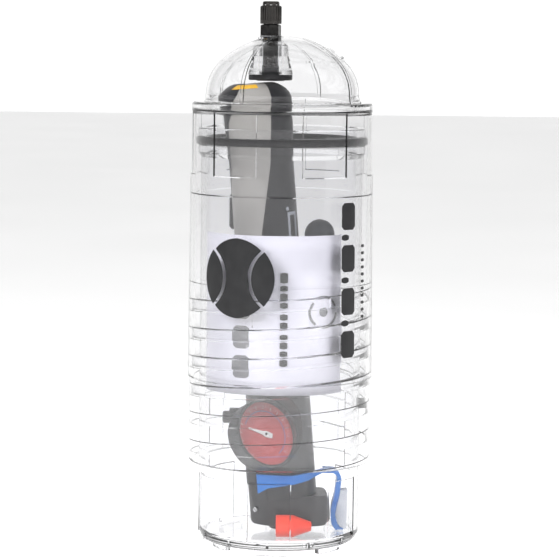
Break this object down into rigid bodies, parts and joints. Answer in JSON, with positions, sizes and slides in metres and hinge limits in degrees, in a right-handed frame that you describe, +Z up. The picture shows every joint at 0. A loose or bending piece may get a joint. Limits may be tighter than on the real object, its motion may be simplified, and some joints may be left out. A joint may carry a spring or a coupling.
{
  "type": "ball pressuriser can",
  "caption": "Clear screw-together pressure can with a valved dome, holding a hand pump with gauge, a rolled leaflet and small accessories.",
  "frame": {"origin": "on the can's axis at the plane its feet stand on", "axes": "+Z up along the can, towards the valve; -Y towards the viewer"},
  "size_m": [0.0876, 0.0876, 0.2582],
  "materials": {
    "clear_plastic": "clear, glossy",
    "black_rubber": "matt",
    "black_metal": "satin",
    "steel": "bright",
    "brass": "bright",
    "black_plastic": "fine texture",
    "black_grip": "soft touch",
    "grey_panel": "satin",
    "aluminium": "drawn",
    "paper": "uncoated paper",
    "blue_plastic": "satin",
    "grey_pad": "soft",
    "gauge_window": "clear",
    "red_dial": "printed",
    "white_needle": "matt",
    "red_plastic": "satin",
    "dark_plastic": "matt"
  },
  "bodies": {
    "cup": {"inner_cup": "clear_plastic", "leaflet": "paper", "pump_grip": "black_grip", "grip_panel": "grey_panel", "pump_barrel": "aluminium", "piston_rod": "steel", "pump_piston": "black_plastic", "piston_ring": "black_rubber", "rod_guide": "black_plastic", "pump_head": "black_plastic", "chuck_collar": "black_plastic", "chuck_seal": "black_rubber", "check_valve": "black_rubber", "lever_pin": "steel", "head_screws": "steel", "gauge_housing": "black_plastic", "gauge_bezel": "black_plastic", "gauge_lens": "gauge_window", "gauge_dial": "red_dial", "bourdon_tube": "brass", "button_spring": "steel", "cone_adapter": "red_plastic", "case_body": "dark_plastic", "case_cap": "dark_plastic", "case_clip": "dark_plastic"},
    "needle": {"gauge_needle": "white_needle", "needle_arbor": "brass"},
    "lever": {"thumb_lever": "blue_plastic", "lever_pad": "grey_pad"},
    "button": {"release_button": "black_plastic"},
    "seal": {"seal_ring": "black_rubber"},
    "shell": {"outer_shell": "clear_plastic", "valve_stem": "black_metal", "valve_nut": "black_metal", "valve_washer": "steel", "valve_grommet": "black_rubber", "valve_core": "brass", "valve_spring": "steel"},
    "pin": {"valve_pin": "brass"},
    "liner": {"cap_liner": "black_rubber"},
    "cap": {"valve_cap": "black_plastic"}
  },
  "joints": [
    {"name": "shell_turn", "type": "hinge", "parent": "cup", "child": "seal", "pos_m": [0, 0, 0.12], "axis": [0, 0, 1], "range_deg": [0, 2340]},
    {"name": "shell_travel", "type": "slide", "parent": "seal", "child": "shell", "axis": [0, 0, 1], "range_m": [0, 0.0872]},
    {"name": "cap_travel", "type": "slide", "parent": "shell", "child": "liner", "axis": [0, 0, 1], "range_m": [0, 0.00635]},
    {"name": "cap_turn", "type": "hinge", "parent": "liner", "child": "cap", "pos_m": [-0.0058, 0, 0.25], "axis": [0, 0, 1], "range_deg": [0, 2880]},
    {"name": "valve_pin_press", "type": "slide", "parent": "shell", "child": "pin", "axis": [0, 0, -1], "range_m": [0, 0.0015], "stiffness_N_per_m": 600, "springref_m": -0.001, "deforming": ["valve_spring"]},
    {"name": "needle_swing", "type": "hinge", "parent": "cup", "child": "needle", "pos_m": [-0.0058, -0.014, 0.0555], "axis": [-0.5515, 0.752, -0.361], "range_deg": [0, 265], "stiffness_Nm_per_rad": 0.0002, "springref_deg": -11.46},
    {"name": "lever_swing", "type": "hinge", "parent": "cup", "child": "lever", "pos_m": [-0.00623, 0.003, 0.03204], "axis": [0, -1, 0], "range_deg": [0, 3]},
    {"name": "button_press", "type": "slide", "parent": "cup", "child": "button", "axis": [1, 0, 0], "range_m": [0, 0.0012], "stiffness_N_per_m": 500, "springref_m": -0.001, "deforming": ["button_spring"]}
  ],
  "couplings": [
    {"joint": "shell_travel", "follows": "shell_turn", "m_per_rad": 0.0021327},
    {"joint": "cap_turn", "follows": "cap_travel", "rad_per_m": 7913.3}
  ]
}
